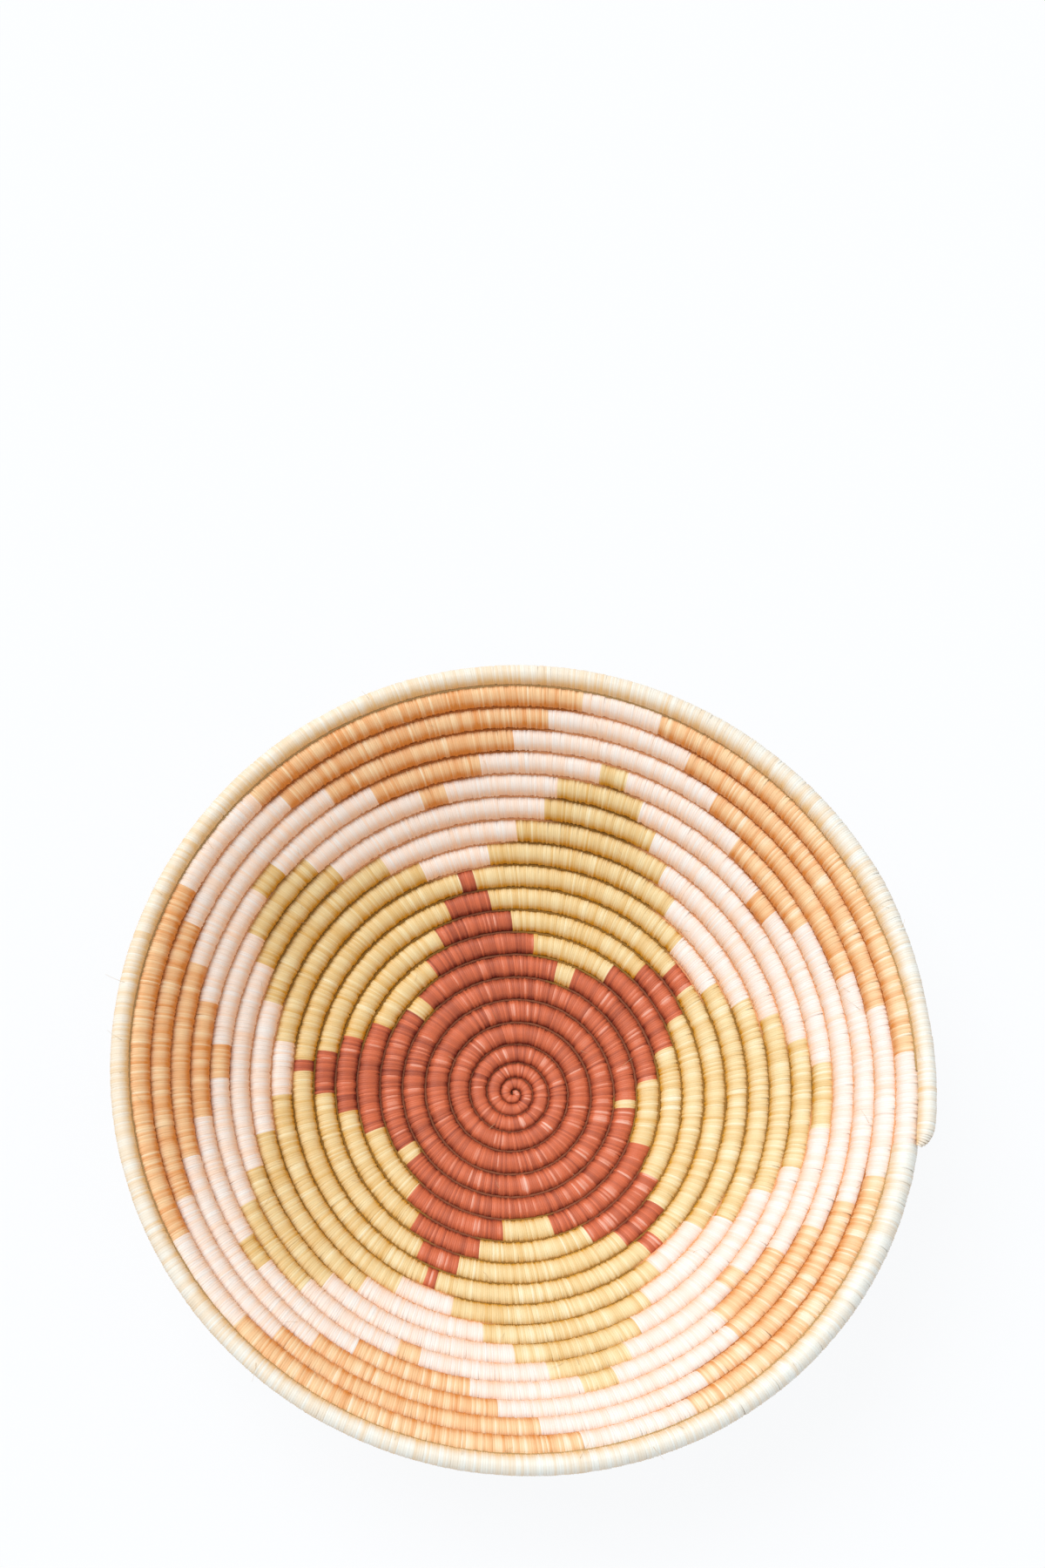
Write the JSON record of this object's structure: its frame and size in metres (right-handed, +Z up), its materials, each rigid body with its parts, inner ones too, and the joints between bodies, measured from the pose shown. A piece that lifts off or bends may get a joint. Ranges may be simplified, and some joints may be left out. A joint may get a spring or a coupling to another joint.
{
  "type": "coiled open basket",
  "caption": "Open round bowl coiled from one wrapped grass bundle, with a stepped star of dyed sisal strands inside and an undyed rim; holds bread, fruit or small things.",
  "frame": {"origin": "on the coil's axis, on the surface that the level base stands on", "axes": "+Z up out of the bowl's mouth; +X points 13 degrees past the blunt tail of the coil, counter-clockwise as seen from above"},
  "size_m": [0.2987, 0.2953, 0.0767],
  "materials": {
    "grass": "dry grass stems, matt",
    "rust_sisal": "dyed sisal strands, silky matt",
    "mustard_sisal": "dyed sisal strands, silky matt",
    "blush_sisal": "dyed sisal strands, silky matt",
    "peach_sisal": "dyed sisal strands, silky matt",
    "natural_sisal": "undyed sisal strands, silky matt"
  },
  "bodies": {
    "root": {"grass_bundle": "grass", "wrap_round_01": "rust_sisal", "wrap_round_02": "rust_sisal", "wrap_round_03": "rust_sisal", "wrap_round_04": "rust_sisal", "wrap_round_05": "rust_sisal", "wrap_round_06": "rust_sisal", "wrap_round_07": "rust_sisal", "wrap_round_08": "rust_sisal", "wrap_round_09": "mustard_sisal", "wrap_round_10": "mustard_sisal", "wrap_round_11": "mustard_sisal", "wrap_round_12": "mustard_sisal", "wrap_round_13": "blush_sisal", "wrap_round_14": "blush_sisal", "wrap_round_15": "blush_sisal", "wrap_round_16": "blush_sisal", "wrap_round_17": "peach_sisal", "wrap_round_18": "peach_sisal", "wrap_round_19": "peach_sisal", "rim_wrap": "natural_sisal", "tail_wrap": "natural_sisal"}
  },
  "joints": []
}
